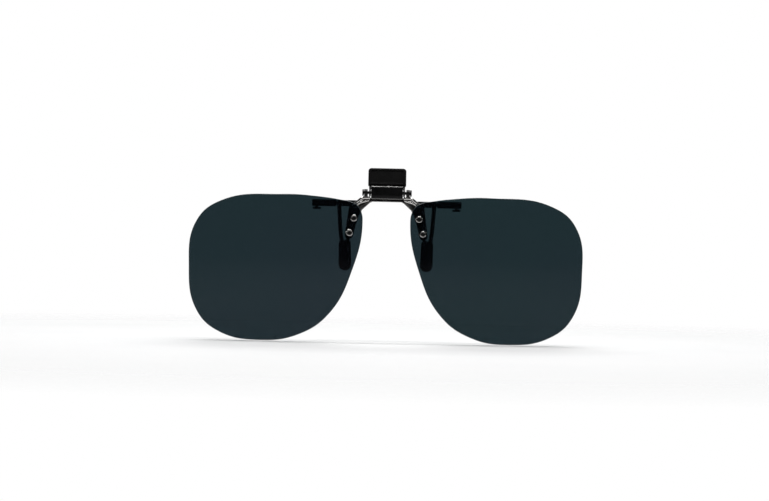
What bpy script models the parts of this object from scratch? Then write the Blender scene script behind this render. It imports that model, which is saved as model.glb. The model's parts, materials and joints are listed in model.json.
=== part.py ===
"""Clip-on flip lenses: two rimless tinted lenses hinged to a sprung clip for spectacles.

The frame has +Z up, the wearer looks along -Y and +X is the onlooker's right.
The hinge pin lies along X through the origin. All sizes are in metres.
"""

import math

import bmesh
import bpy
from mathutils import Euler, Matrix, Vector

MM = 0.001
SIDES = {"left": -1, "right": 1}

# Lenses: a thin spherical sheet, tangent to the bridge straps, trimmed to an outline.
LENS_THICKNESS = 1.1 * MM
LENS_RADIUS = 260 * MM
LENS_BACK_Y = -0.5 * MM
LENS_VERTEX = (11.8 * MM, -11.3 * MM)
LENS_OUTLINE = [(67.4, -26.1), (64.9, -10.4), (56.7, -3.6), (35.6, -1.04), (20.5, -1.85),
                (15.8, -2.55), (12.6, -3.1), (10.2, -4.3), (8.75, -6.3), (8.1, -9.6),
                (11.2, -26.1), (19.1, -41.7), (29.5, -48.9), (42.2, -51.05), (56.6, -48.5),
                (64.4, -41.5)]
CAP_REACH = 72 * MM
CAP_RINGS = 12

# Rivets: centres (x, z), and the stack from the lens to the burr behind the strap.
RIVET_SPOTS = {"upper": (11.1 * MM, -8.8 * MM), "lower": (12.5 * MM, -13.8 * MM)}
RIVET_SHANK = 0.55 * MM
RIVET_HEAD = 1.2 * MM
RIVET_HOLE = 0.85 * MM
GAP = 0.3 * MM

# Lens bridge: one pressed sheet with a crossbar, two arms, two straps and two knuckles.
BRIDGE_FRONT_Y = 0.4 * MM
BRIDGE_THICKNESS = 0.8 * MM
STRAP_END = (12.75 * MM, -14.55 * MM)
STRAP_END_RADIUS = 1.4 * MM
STRAP_OUTER_SLANT = 7.5
STRAP_INNER_SLANT = 15.5
KNUCKLE_RADIUS = 1.2 * MM
KNUCKLE_INNER = 6.6 * MM
KNUCKLE_OUTER = 7.75 * MM

# Hinge pin and its heads.
PIN_RADIUS = 0.5 * MM
PIN_BORE = 0.58 * MM
HEAD_RADIUS = 1.15 * MM
HEAD_INNER = 7.95 * MM
HEAD_OUTER = 8.42 * MM

# Spring housing, a pressed box open at the back.
HOUSING_HALF_WIDTH = 5.4 * MM
HOUSING_FRONT = -2.0 * MM
HOUSING_BACK = 1.2 * MM
HOUSING_TOP = 2.3 * MM
HOUSING_BOTTOM = -2.2 * MM
HOUSING_WALL = 0.4 * MM

# Torsion spring round the pin.
SPRING_RADIUS = 1.1 * MM
SPRING_WIRE = 0.2 * MM
SPRING_HALF_LENGTH = 3.5 * MM
SPRING_TURNS = 6

# Front jaw: a pressed plate that closes the housing and carries the wings.
JAW_FRONT_Y = 1.5 * MM
JAW_THICKNESS = 0.8 * MM
WING_CENTRE_Z = -3.7 * MM
TONGUE_END = 24.9 * MM
TONGUE_HALF_HEIGHT = 0.6 * MM

# Soft sleeves on the wings.
SLEEVE_INNER = 17.2 * MM
SLEEVE_OUTER = 25.5 * MM
SLEEVE_HALF_HEIGHT = 1.15 * MM
SLEEVE_FRONT_Y = 0.95 * MM
SLEEVE_BACK_Y = 2.85 * MM
FIT = 0.15 * MM

# Wires of both jaws and their soft tips.
LEG_WIRE = 0.72 * MM
PRONG_WIRE = 0.6 * MM
FRONT_TIP_TOP = (14.75 * MM, -17.6 * MM)
REAR_TIP_TOP = (13.45 * MM, -17.4 * MM)
TIP_TOP_RADIUS = 1.4 * MM
TIP_BOTTOM = (13.9 * MM, -24.55 * MM)
TIP_BOTTOM_RADIUS = 2.15 * MM
TIP_THICKNESS = 2.2 * MM
FRONT_TIP_Y = 2.6 * MM
REAR_TIP_Y = 5.1 * MM
LEG_PATH = [(16.2, 0.65, -2.9), (16.15, 0.65, -5.0), (15.9, 1.4, -9.0), (15.65, 2.2, -12.6),
            (15.2, 2.6, -16.0), (14.75, 2.6, -18.6), (14.2, 2.6, -22.8)]
PRONG_PATH = [(7.1, 2.5, 0.2), (7.1, 4.2, -0.5), (7.6, 6.4, -2.2), (8.8, 8.5, -5.2),
              (10.4, 9.1, -8.4), (11.8, 7.9, -11.8), (12.8, 5.9, -14.6), (13.3, 5.1, -17.2),
              (13.9, 5.1, -22.8)]

# Thumb lever and its pad, drawn upright and then leant back about the pin.
LEVER_LEAN = 20
LEVER_FRONT_Y = 2.0 * MM
LEVER_THICKNESS = 0.5 * MM
EAR_INNER = 5.5 * MM
EAR_OUTER = 6.15 * MM
EAR_RADIUS = 1.15 * MM
PAD_HALF_WIDTH = 6.5 * MM
PAD_BOTTOM = 3.3 * MM
PAD_TOP = 9.75 * MM
PAD_FRONT_Y = 1.45 * MM
PAD_THICKNESS = 1.6 * MM

STANDING = Euler((math.radians(90), 0, 0))
SIDEWAYS = Euler((math.radians(90), 0, math.radians(90)))
ALONG_X = Euler((0, math.radians(90), 0))


def clear_scene():
    """Remove everything that the file holds."""
    for obj in list(bpy.data.objects):
        bpy.data.objects.remove(obj, do_unlink=True)
    for collection in list(bpy.data.collections):
        bpy.data.collections.remove(collection)


def new_collection(name):
    """A collection linked to the scene."""
    collection = bpy.data.collections.new(name)
    bpy.context.scene.collection.children.link(collection)
    return collection


def make_material(name, color, roughness, metallic=0.0):
    """A plain Principled material."""
    material = bpy.data.materials.new(name)
    material.use_nodes = True
    shader = material.node_tree.nodes["Principled BSDF"]
    shader.inputs["Base Color"].default_value = (*color, 1.0)
    shader.inputs["Roughness"].default_value = roughness
    shader.inputs["Metallic"].default_value = metallic
    material.diffuse_color = (*color, 1.0)
    return material


def place(obj, material, parent=None):
    """Put a finished object in the part's collection with its own copy of a material."""
    PART.objects.link(obj)
    own = material.copy()
    own.name = f"{obj.name}_finish"
    obj.data.materials.clear()
    obj.data.materials.append(own)
    obj.parent = parent
    return obj


def place_tool(obj, parent=None):
    """Put a cutter or a joined shape in the cutters' collection, hidden from renders."""
    CUTTERS.objects.link(obj)
    obj.hide_render = True
    obj.display_type = "WIRE"
    obj.parent = parent
    return obj


def scaled(points):
    """Millimetre points as metres."""
    return [tuple(value * MM for value in point) for point in points]


def mirrored(points, side):
    """The points on one side of the middle plane, from the points drawn at +X."""
    return [(side * point[0], *point[1:]) for point in points]


def arc(center, radius, start, end, steps):
    """Points on an arc of a flat outline, between two angles in degrees."""
    angles = [math.radians(start + (end - start) * i / steps) for i in range(steps + 1)]
    return [(center[0] + radius * math.cos(a), center[1] + radius * math.sin(a)) for a in angles]


def tapered_slot(first, first_radius, second, second_radius, steps=7):
    """Outline round two circles of different size."""
    offset = Vector(second) - Vector(first)
    heading = math.degrees(math.atan2(offset.y, offset.x))
    tangent = math.degrees(math.acos((first_radius - second_radius) / offset.length))
    far = arc(second, second_radius, heading - tangent, heading + tangent, steps)
    near = arc(first, first_radius, heading + tangent, heading - tangent + 360, steps)
    return far + near


def curve_object(name, points, cyclic, smooth):
    """A curve object of one spline, either straight between its points or smooth through them."""
    data = bpy.data.curves.new(name, "CURVE")
    spline = data.splines.new("BEZIER" if smooth else "POLY")
    if smooth:
        spline.bezier_points.add(len(points) - 1)
        for knot, point in zip(spline.bezier_points, points):
            knot.co = point
            knot.handle_left_type = "AUTO"
            knot.handle_right_type = "AUTO"
    else:
        spline.points.add(len(points) - 1)
        for knot, point in zip(spline.points, points):
            knot.co = (*point, 1.0)
    spline.use_cyclic_u = cyclic
    return bpy.data.objects.new(name, data)


def solid_mesh(curve):
    """The curve's solid as a mesh object with welded caps; the curve itself is removed."""
    bpy.context.scene.collection.objects.link(curve)
    depsgraph = bpy.context.evaluated_depsgraph_get()
    mesh = bpy.data.meshes.new_from_object(curve.evaluated_get(depsgraph))
    shape = bmesh.new()
    shape.from_mesh(mesh)
    bmesh.ops.remove_doubles(shape, verts=shape.verts, dist=0.001 * MM)
    bmesh.ops.recalc_face_normals(shape, faces=shape.faces)
    shape.to_mesh(mesh)
    shape.free()
    name = curve.name
    matrix = curve.matrix_world.copy()
    bpy.data.objects.remove(curve, do_unlink=True)
    solid = bpy.data.objects.new(name, mesh)
    solid.matrix_world = matrix
    return solid


def plate(name, outline, near, far, rotation=STANDING, edge=0.0, smooth=False):
    """A flat outline given a thickness, from near to far along its normal axis.

    Standing plates are drawn in X and Z and run from near to far along Y.
    Sideways plates are drawn in Y and Z and run from near to far along X.
    """
    curve = curve_object(name, [(*point, 0.0) for point in outline], True, smooth)
    curve.data.dimensions = "2D"
    curve.data.fill_mode = "BOTH"
    curve.data.resolution_u = 5
    curve.data.extrude = (far - near) / 2 - edge
    curve.data.bevel_depth = edge
    curve.data.bevel_resolution = 1
    curve.data.offset = -edge
    middle = (near + far) / 2
    curve.rotation_euler = rotation
    curve.location = (0, middle, 0) if rotation == STANDING else (middle, 0, 0)
    bpy.context.view_layer.update()
    curve.matrix_world = Matrix.LocRotScale(curve.location, rotation, None)
    return solid_mesh(curve)


def wire(name, points, radius):
    """A round wire bent smoothly through its points."""
    curve = curve_object(name, points, False, True)
    curve.data.dimensions = "3D"
    curve.data.resolution_u = 3
    curve.data.bevel_depth = radius
    curve.data.bevel_resolution = 2
    curve.data.use_fill_caps = True
    return curve


def lengthened(points, extra):
    """A path with its last point pushed on by a short length."""
    last = Vector(points[-1])
    onward = (last - Vector(points[-2])).normalized()
    return points[:-1] + [tuple(last + onward * extra)]


def turned(name, profile, location, rotation, closed=False, steps=16):
    """A turned piece: a profile of (radius, height) swept round its own Z axis."""
    mesh = bpy.data.meshes.new(name)
    edges = [(i, i + 1) for i in range(len(profile) - 1)]
    if closed:
        edges.append((len(profile) - 1, 0))
    mesh.from_pydata([(radius, 0, height) for radius, height in profile], edges, [])
    obj = bpy.data.objects.new(name, mesh)
    sweep = obj.modifiers.new("Screw", "SCREW")
    sweep.steps = steps
    sweep.render_steps = steps
    sweep.use_merge_vertices = True
    sweep.merge_threshold = 0.0005 * MM
    obj.location = location
    obj.rotation_euler = rotation
    return obj


def ring(name, inner, outer, bottom, top, location, rotation):
    """A flat washer."""
    profile = [(outer, top), (outer, bottom), (inner, bottom), (inner, top)]
    return turned(name, profile, location, rotation, closed=True)


def combine(obj, tool, operation):
    """Join, cut or trim an object with another closed shape."""
    step = obj.modifiers.new(operation.title(), "BOOLEAN")
    step.operation = operation
    step.solver = "EXACT"
    step.object = tool
    return obj


def box(name, low, high):
    """A plain box between two corners."""
    shape = bmesh.new()
    bmesh.ops.create_cube(shape, size=1.0)
    size = Vector(high) - Vector(low)
    center = (Vector(high) + Vector(low)) / 2
    bmesh.ops.scale(shape, vec=size, verts=shape.verts)
    bmesh.ops.translate(shape, vec=center, verts=shape.verts)
    mesh = bpy.data.meshes.new(name)
    shape.to_mesh(mesh)
    shape.free()
    return bpy.data.objects.new(name, mesh)


def rod(name, radius, low, high, location, rotation):
    """A plain cylinder from low to high along its own axis."""
    profile = [(0, high), (radius, high), (radius, low), (0, low)]
    return turned(name, profile, location, rotation)


def round_smooth(obj):
    """Shade a round piece smooth and keep its edges sharp."""
    obj.data.shade_smooth()
    obj.data.set_sharp_from_angle(angle=math.radians(35))


def make_frames():
    """Empties on the hinge axis that carry the two moving groups."""
    frames = {}
    for name, lean in (("lens_frame", 0), ("rear_jaw", 0), ("lever_frame", -LEVER_LEAN)):
        frame = bpy.data.objects.new(name, None)
        frame.rotation_euler = (math.radians(lean), 0, 0)
        PART.objects.link(frame)
        frames[name] = frame
    frames["lever_frame"].parent = frames["rear_jaw"]
    return frames


def make_rivet_cutters(parent):
    """The four holes through the lenses and straps."""
    cutters = {}
    for side_name, side in SIDES.items():
        for spot_name, (x, z) in RIVET_SPOTS.items():
            name = f"hole_{side_name}_{spot_name}"
            hole = rod(name, RIVET_HOLE, -4 * MM, 4 * MM, (side * x, 0, z), STANDING)
            cutters[side_name, spot_name] = place_tool(hole, parent)
    return cutters


def make_lens(side_name, side, holes, parent):
    """A lens: a thin spherical cap trimmed to its outline and drilled for two rivets."""
    def drop(radius):
        return LENS_RADIUS - math.sqrt(LENS_RADIUS ** 2 - radius ** 2)

    radii = [CAP_REACH * i / CAP_RINGS for i in range(CAP_RINGS + 1)]
    front = [(radius, LENS_THICKNESS - drop(radius)) for radius in radii]
    back = [(radius, -drop(radius)) for radius in reversed(radii)]
    location = (side * LENS_VERTEX[0], LENS_BACK_Y, LENS_VERTEX[1])
    lens = turned(f"{side_name}_lens", front + back, location, STANDING, steps=40)
    outline = mirrored(scaled(LENS_OUTLINE), side)
    trim = plate(f"{side_name}_lens_trim", outline, -10 * MM, 20 * MM, smooth=True)
    combine(lens, place_tool(trim, parent), "INTERSECT")
    for spot_name in RIVET_SPOTS:
        combine(lens, holes[side_name, spot_name], "DIFFERENCE")
    place(lens, LENS_TINT, parent)


def make_rivet_stack(side_name, side, spot_name, parent):
    """One rivet with the nylon washer before the strap and the burr behind it."""
    x, z = RIVET_SPOTS[spot_name]
    spot = (side * x, 0, z)
    lens_front = LENS_BACK_Y - LENS_THICKNESS
    under_head = GAP - lens_front
    dome = 0.7 * MM
    dimple = 0.5 * MM
    crown = [(0, under_head + dome - 0.25 * MM), (dimple, under_head + dome - 0.2 * MM),
             (dimple + 0.12 * MM, under_head + dome)]
    shoulder = [(0.95 * MM, under_head + dome * 0.75), (RIVET_HEAD, under_head + dome * 0.3),
                (RIVET_HEAD, under_head), (RIVET_SHANK, under_head)]
    strap_back = BRIDGE_FRONT_Y + BRIDGE_THICKNESS
    burr_front = strap_back + 0.25 * MM
    burr_back = burr_front + 0.4 * MM
    tail = burr_back + 0.3 * MM
    shank = [(RIVET_SHANK, -tail + 0.15 * MM), (RIVET_SHANK - 0.15 * MM, -tail), (0, -tail)]
    label = f"{side_name}_{spot_name}"
    rivet = turned(f"rivet_{label}", crown + shoulder + shank, spot, STANDING)
    washer = ring(f"washer_{label}", RIVET_HOLE, 1.45 * MM, -BRIDGE_FRONT_Y + GAP,
                  -LENS_BACK_Y - GAP, spot, STANDING)
    burr = ring(f"burr_{label}", 0.7 * MM, 1.3 * MM, -burr_back, -burr_front, spot, STANDING)
    for piece, finish in ((rivet, POLISHED), (washer, NYLON), (burr, POLISHED)):
        round_smooth(place(piece, finish, parent))


def make_bridge(holes, pin_cutter, parent):
    """The pressed bridge: crossbar, arms, straps, raised rails and knuckles in one piece."""
    lead_in = scaled([(5.55, -2.55), (5.75, -1.6), (8.2, -1.6), (9.6, -2.5), (11.7, -3.7),
                      (12.75, -4.6), (13.0, -6.0)])
    strap = arc(STRAP_END, STRAP_END_RADIUS, STRAP_OUTER_SLANT, STRAP_INNER_SLANT - 180, 8)
    lead_out = scaled([(9.75, -8.6), (8.85, -6.35), (5.3, -3.1)])
    half = lead_in + strap + lead_out
    outline = half + mirrored(half[::-1], -1)
    bridge = plate("lens_bridge", outline, BRIDGE_FRONT_Y, BRIDGE_FRONT_Y + BRIDGE_THICKNESS)
    rails = {"upper": (0.52 * MM, [(5.75, 0.3, -1.78), (7.1, 0.3, -1.72), (8.4, 0.3, -1.95),
                                   (9.6, 0.35, -2.85), (10.8, 0.6, -3.95), (11.6, 0.75, -5.6)]),
             "lower": (0.42 * MM, [(6.1, 0.4, -2.5), (7.6, 0.35, -2.95), (9.0, 0.35, -3.35),
                                   (9.9, 0.45, -3.9), (10.6, 0.7, -5.0), (10.9, 0.85, -6.2)])}
    knuckle = arc((0, 0), KNUCKLE_RADIUS, 0, 200, 12) + scaled([(0.42, -1.8), (1.1, -1.8)])
    for side_name, side in SIDES.items():
        for rail_name, (radius, path) in rails.items():
            rail = wire(f"rail_{side_name}_{rail_name}", mirrored(scaled(path), side), radius)
            combine(bridge, place_tool(solid_mesh(rail), parent), "UNION")
        ends = sorted((side * KNUCKLE_INNER, side * KNUCKLE_OUTER))
        roll = plate(f"knuckle_{side_name}", knuckle, *ends, rotation=SIDEWAYS)
        combine(bridge, place_tool(roll, parent), "UNION")
    combine(bridge, pin_cutter, "DIFFERENCE")
    for hole in holes.values():
        combine(bridge, hole, "DIFFERENCE")
    place(bridge, GUNMETAL, parent)


def make_housing(pin_cutter):
    """The pressed housing: front, top, bottom and cheeks, open at the back."""
    front_low = (HOUSING_FRONT + 1.5 * MM, HOUSING_BOTTOM + 1.5 * MM)
    front_high = (HOUSING_FRONT + 0.7 * MM, HOUSING_TOP - 0.7 * MM)
    outer = [(HOUSING_BACK, HOUSING_TOP)]
    outer += arc(front_high, 0.7 * MM, 90, 180, 4)
    outer += arc(front_low, 1.5 * MM, 180, 270, 6)
    outer += [(HOUSING_BACK, HOUSING_BOTTOM)]
    inner = [(HOUSING_BACK + 1 * MM, HOUSING_TOP - HOUSING_WALL)]
    inner += arc(front_high, 0.7 * MM - HOUSING_WALL, 90, 180, 4)
    inner += arc(front_low, 1.5 * MM - HOUSING_WALL, 180, 270, 6)
    inner += [(HOUSING_BACK + 1 * MM, HOUSING_BOTTOM + HOUSING_WALL)]
    half = HOUSING_HALF_WIDTH
    housing = plate("spring_housing", outer, -half, half, rotation=SIDEWAYS, edge=0.25 * MM)
    cavity = plate("housing_cavity", inner, HOUSING_WALL - half, half - HOUSING_WALL,
                   rotation=SIDEWAYS)
    combine(housing, place_tool(cavity), "DIFFERENCE")
    combine(housing, pin_cutter, "DIFFERENCE")
    place(housing, BLACK_METAL)


def make_front_jaw():
    """The plate behind the housing, with a wing on each side that ends in a tongue."""
    low = WING_CENTRE_Z - TONGUE_HALF_HEIGHT
    high = WING_CENTRE_Z + TONGUE_HALF_HEIGHT
    half = scaled([(5.0, 1.3), (5.0, -1.5), (9.5, -2.65), (16.9, -2.65)])
    half += [(16.9 * MM, high), (TONGUE_END, high), (TONGUE_END, low), (16.9 * MM, low)]
    half += scaled([(16.9, -4.75), (8.2, -4.75), (4.6, -2.9)])
    outline = half + mirrored(half[::-1], -1)
    jaw = plate("front_jaw", outline, JAW_FRONT_Y, JAW_FRONT_Y + JAW_THICKNESS)
    place(jaw, BLACK_METAL)


def make_pin():
    """The hinge pin with a formed head, its pressed cap and two friction washers."""
    chamfer = 0.2 * MM
    pin_end = 8.1 * MM
    shaft = [(0, pin_end), (PIN_RADIUS, pin_end), (PIN_RADIUS, -HEAD_INNER),
             (HEAD_RADIUS, -HEAD_INNER), (HEAD_RADIUS, -HEAD_OUTER + chamfer),
             (HEAD_RADIUS - chamfer, -HEAD_OUTER), (0, -HEAD_OUTER)]
    cap_roof = pin_end + 0.1 * MM
    cap = [(0, HEAD_OUTER), (HEAD_RADIUS - chamfer, HEAD_OUTER),
           (HEAD_RADIUS, HEAD_OUTER - chamfer), (HEAD_RADIUS, HEAD_INNER),
           (PIN_BORE, HEAD_INNER), (PIN_BORE, cap_roof), (0, cap_roof)]
    for name, profile in (("hinge_pin", shaft), ("pin_cap", cap)):
        round_smooth(place(turned(name, profile, (0, 0, 0), ALONG_X), POLISHED))
    for side_name, side in SIDES.items():
        bottom, top = sorted((side * 7.8 * MM, side * 7.9 * MM))
        washer = ring(f"{side_name}_friction_washer", PIN_BORE, 1.1 * MM, bottom, top,
                      (0, 0, 0), ALONG_X)
        round_smooth(place(washer, BLACK_METAL))


def make_spring():
    """The torsion spring: a coil round the pin, one arm in the housing, one on the lever."""
    per_turn = 10
    count = SPRING_TURNS * per_turn
    coil = []
    for i in range(count + 1):
        angle = 2 * math.pi * i / per_turn
        x = SPRING_HALF_LENGTH * (2 * i / count - 1)
        coil.append((x, -SPRING_RADIUS * math.sin(angle), SPRING_RADIUS * math.cos(angle)))
    lever_arm = scaled([(-3.7, 2.55, 1.9), (-3.6, 0.9, 1.45)])
    housing_arm = scaled([(3.6, -0.9, 1.25), (3.7, -1.3, 1.35)])
    curve = curve_object("torsion_spring", lever_arm + coil + housing_arm, False, False)
    curve.data.dimensions = "3D"
    curve.data.bevel_depth = SPRING_WIRE
    curve.data.bevel_resolution = 2
    curve.data.use_fill_caps = True
    place(curve, STEEL)


def make_leg(side_name, side):
    """A front leg wire and the soft tip pushed on to it."""
    path = mirrored(scaled(LEG_PATH), side)
    place(wire(f"{side_name}_front_leg", path, LEG_WIRE), BLACK_METAL)
    make_tip(f"{side_name}_front_tip", side, FRONT_TIP_TOP, FRONT_TIP_Y, path, LEG_WIRE)


def make_prong(side_name, side, parent):
    """A rear prong wire and the soft tip pushed on to it."""
    path = mirrored(scaled(PRONG_PATH), side)
    place(wire(f"{side_name}_rear_prong", path, PRONG_WIRE), BLACK_METAL, parent)
    make_tip(f"{side_name}_rear_tip", side, REAR_TIP_TOP, REAR_TIP_Y, path, PRONG_WIRE, parent)


def make_tip(name, side, shoulder, middle_y, path, wire_radius, parent=None):
    """A flat soft tip with a blind bore for its wire."""
    top = (side * shoulder[0], shoulder[1])
    bottom = (side * TIP_BOTTOM[0], TIP_BOTTOM[1])
    outline = tapered_slot(top, TIP_TOP_RADIUS, bottom, TIP_BOTTOM_RADIUS)
    half = TIP_THICKNESS / 2
    tip = plate(name, outline, middle_y - half, middle_y + half, edge=0.4 * MM)
    bore = wire(f"{name}_bore", lengthened(path, 0.3 * MM), wire_radius + FIT)
    combine(tip, place_tool(solid_mesh(bore), parent), "DIFFERENCE")
    place(tip, SOFT_BLACK, parent)


def make_sleeve(side_name, side):
    """A soft sleeve on a wing's tongue, with a small foot under its outer end."""
    low = WING_CENTRE_Z - SLEEVE_HALF_HEIGHT
    high = WING_CENTRE_Z + SLEEVE_HALF_HEIGHT
    body = [(SLEEVE_INNER, low), (SLEEVE_OUTER, low), (SLEEVE_OUTER, high), (SLEEVE_INNER, high)]
    sleeve = plate(f"{side_name}_wing_sleeve", mirrored(body, side), SLEEVE_FRONT_Y,
                   SLEEVE_BACK_Y, edge=0.25 * MM)
    sole = scaled([(22.6, -5.9), (25.0, -5.9), (25.2, -5.7), (25.2, -5.2), (24.4, -5.1),
                   (24.4, -4.7), (23.4, -4.7), (23.4, -5.1), (22.5, -5.2), (22.4, -5.7)])
    foot = plate(f"{side_name}_sleeve_foot", mirrored(sole, side), SLEEVE_FRONT_Y + GAP,
                 SLEEVE_BACK_Y - GAP)
    combine(sleeve, place_tool(foot), "UNION")
    xs = sorted((side * (SLEEVE_INNER - 1 * MM), side * (TONGUE_END + FIT)))
    pocket_low = (xs[0], JAW_FRONT_Y - FIT, WING_CENTRE_Z - TONGUE_HALF_HEIGHT - FIT)
    pocket_high = (xs[1], JAW_FRONT_Y + JAW_THICKNESS + FIT,
                   WING_CENTRE_Z + TONGUE_HALF_HEIGHT + FIT)
    pocket = box(f"{side_name}_sleeve_pocket", pocket_low, pocket_high)
    combine(sleeve, place_tool(pocket), "DIFFERENCE")
    place(sleeve, SOFT_BLACK)


def make_lever(pin_cutter, frame):
    """The bent thumb plate with an ear at each side that turns on the pin."""
    blade = scaled([(-6.1, 2.2), (6.1, 2.2), (6.1, 3.05), (5.5, 3.05), (5.5, 7.9), (4.8, 8.6),
                    (-4.8, 8.6), (-5.5, 7.9), (-5.5, 3.05), (-6.1, 3.05)])
    lever = plate("thumb_lever", blade, LEVER_FRONT_Y, LEVER_FRONT_Y + LEVER_THICKNESS)
    ear = arc((0, 0), EAR_RADIUS, 110, 265, 10)
    ear += scaled([(4.36, 0.31), (3.74, 2.0), (2.6, 2.9), (2.6, 3.1), (1.8, 3.1)])
    for side_name, side in SIDES.items():
        ends = sorted((side * EAR_INNER, side * EAR_OUTER))
        shape = plate(f"ear_{side_name}", ear, *ends, rotation=SIDEWAYS)
        combine(lever, place_tool(shape, frame), "UNION")
    combine(lever, pin_cutter, "DIFFERENCE")
    place(lever, BLACK_METAL, frame)


def make_pad(frame):
    """The moulded thumb pad with a pocket for the lever's blade."""
    corner = 1.1 * MM
    heel = 0.5 * MM
    half = PAD_HALF_WIDTH
    outline = arc((half - heel, PAD_BOTTOM + heel), heel, -90, 0, 3)
    outline += arc((half - corner, PAD_TOP - corner), corner, 0, 90, 5)
    outline += mirrored(outline[::-1], -1)
    pad = plate("thumb_pad", outline, PAD_FRONT_Y, PAD_FRONT_Y + PAD_THICKNESS, edge=0.35 * MM)
    pocket = box("pad_pocket", (-5.65 * MM, LEVER_FRONT_Y - FIT, PAD_BOTTOM - 1 * MM),
                 (5.65 * MM, LEVER_FRONT_Y + LEVER_THICKNESS + FIT, 8.75 * MM))
    combine(pad, place_tool(pocket, frame), "DIFFERENCE")
    place(pad, SOFT_BLACK, frame)


def build():
    """Make every piece."""
    frames = make_frames()
    lens_frame = frames["lens_frame"]
    pin_cutter = place_tool(rod("pin_bore", PIN_BORE, -12 * MM, 12 * MM, (0, 0, 0), ALONG_X))
    holes = make_rivet_cutters(lens_frame)
    make_housing(pin_cutter)
    make_front_jaw()
    make_pin()
    make_spring()
    make_lever(pin_cutter, frames["lever_frame"])
    make_pad(frames["lever_frame"])
    make_bridge(holes, pin_cutter, lens_frame)
    for side_name, side in SIDES.items():
        make_leg(side_name, side)
        make_sleeve(side_name, side)
        make_prong(side_name, side, frames["rear_jaw"])
        make_lens(side_name, side, holes, lens_frame)
        for spot_name in RIVET_SPOTS:
            make_rivet_stack(side_name, side, spot_name, lens_frame)


clear_scene()
PART = new_collection("clip_on_flip_lenses")
CUTTERS = new_collection("cutters")
LENS_TINT = make_material("lens_tint", (0.02, 0.032, 0.042), 0.05)
GUNMETAL = make_material("gunmetal", (0.16, 0.16, 0.17), 0.18, 1.0)
POLISHED = make_material("polished", (0.55, 0.54, 0.53), 0.15, 1.0)
BLACK_METAL = make_material("black_metal", (0.03, 0.03, 0.032), 0.35, 1.0)
STEEL = make_material("steel", (0.5, 0.5, 0.5), 0.25, 1.0)
SOFT_BLACK = make_material("soft_black", (0.015, 0.016, 0.017), 0.6)
NYLON = make_material("nylon", (0.75, 0.76, 0.76), 0.5)
build()
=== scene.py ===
"""Looks for the clip-on flip lenses: fine meshes, procedural finishes, soft light and camera.

Every piece is made in the frame's own place, in metres: +Z up, -Y out of the front of the lenses.
"""

import json
import math

import bmesh
import bpy
from mathutils import Euler, Matrix, Vector


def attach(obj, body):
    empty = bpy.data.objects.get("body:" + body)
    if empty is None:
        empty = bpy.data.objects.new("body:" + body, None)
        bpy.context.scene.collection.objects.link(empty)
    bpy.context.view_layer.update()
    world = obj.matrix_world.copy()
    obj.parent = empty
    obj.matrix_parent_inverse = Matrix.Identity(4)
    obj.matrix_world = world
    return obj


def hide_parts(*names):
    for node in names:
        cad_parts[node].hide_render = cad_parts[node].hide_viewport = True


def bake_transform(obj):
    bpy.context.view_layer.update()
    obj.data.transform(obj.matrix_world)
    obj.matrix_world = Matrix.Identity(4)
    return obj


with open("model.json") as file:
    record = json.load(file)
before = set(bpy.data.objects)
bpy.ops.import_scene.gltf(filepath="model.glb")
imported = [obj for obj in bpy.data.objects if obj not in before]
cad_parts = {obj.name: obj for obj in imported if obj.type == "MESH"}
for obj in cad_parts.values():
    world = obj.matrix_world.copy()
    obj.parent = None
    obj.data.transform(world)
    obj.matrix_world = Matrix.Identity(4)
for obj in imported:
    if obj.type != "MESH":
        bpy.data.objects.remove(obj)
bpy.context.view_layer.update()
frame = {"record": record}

MM = 0.001
WELD = 0.0005 * MM
SIDES = {"left": -1, "right": 1}
STANDING = Euler((math.radians(90), 0, 0))
SIDEWAYS = Euler((math.radians(90), 0, math.radians(90)))
ALONG_X = Euler((0, math.radians(90), 0))
BODY_OF = {node: body for body, nodes in frame["record"]["behaviour"]["bodies"].items()
           for node in nodes}

# Lenses
LENS_THICKNESS = 1.1 * MM
LENS_RADIUS = 260 * MM
LENS_BACK_Y = -0.5 * MM
LENS_VERTEX = (11.8 * MM, -11.3 * MM)
LENS_OUTLINE = [(67.4, -26.1), (64.9, -10.4), (56.7, -3.6), (35.6, -1.04), (20.5, -1.85),
                (15.8, -2.55), (12.6, -3.1), (10.2, -4.3), (8.75, -6.3), (8.1, -9.6),
                (11.2, -26.1), (19.1, -41.7), (29.5, -48.9), (42.2, -51.05), (56.6, -48.5),
                (64.4, -41.5)]
LENS_MIDDLE = (37.7 * MM, -26.0 * MM)
LENS_RINGS = 16
LENS_ROUND = 0.2 * MM
RIM_FACING = 0.93

# Rivets
RIVET_SPOTS = {"upper": (11.1 * MM, -8.8 * MM), "lower": (12.5 * MM, -13.8 * MM)}
RIVET_SHANK = 0.55 * MM
RIVET_HEAD = 1.2 * MM
RIVET_HOLE = 0.85 * MM
HOLE_REACH = 4 * MM
RIVET_DOME = 0.7 * MM
RIVET_DIMPLE = 0.68 * MM
DIMPLE_DEPTH = 0.3 * MM
WASHER_RADIUS = 1.45 * MM
BURR_INNER = 0.7 * MM
BURR_OUTER = 1.3 * MM
BURR_THICKNESS = 0.4 * MM
BURR_CLEARANCE = 0.25 * MM
TAIL_LENGTH = 0.3 * MM
GAP = 0.3 * MM

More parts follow.
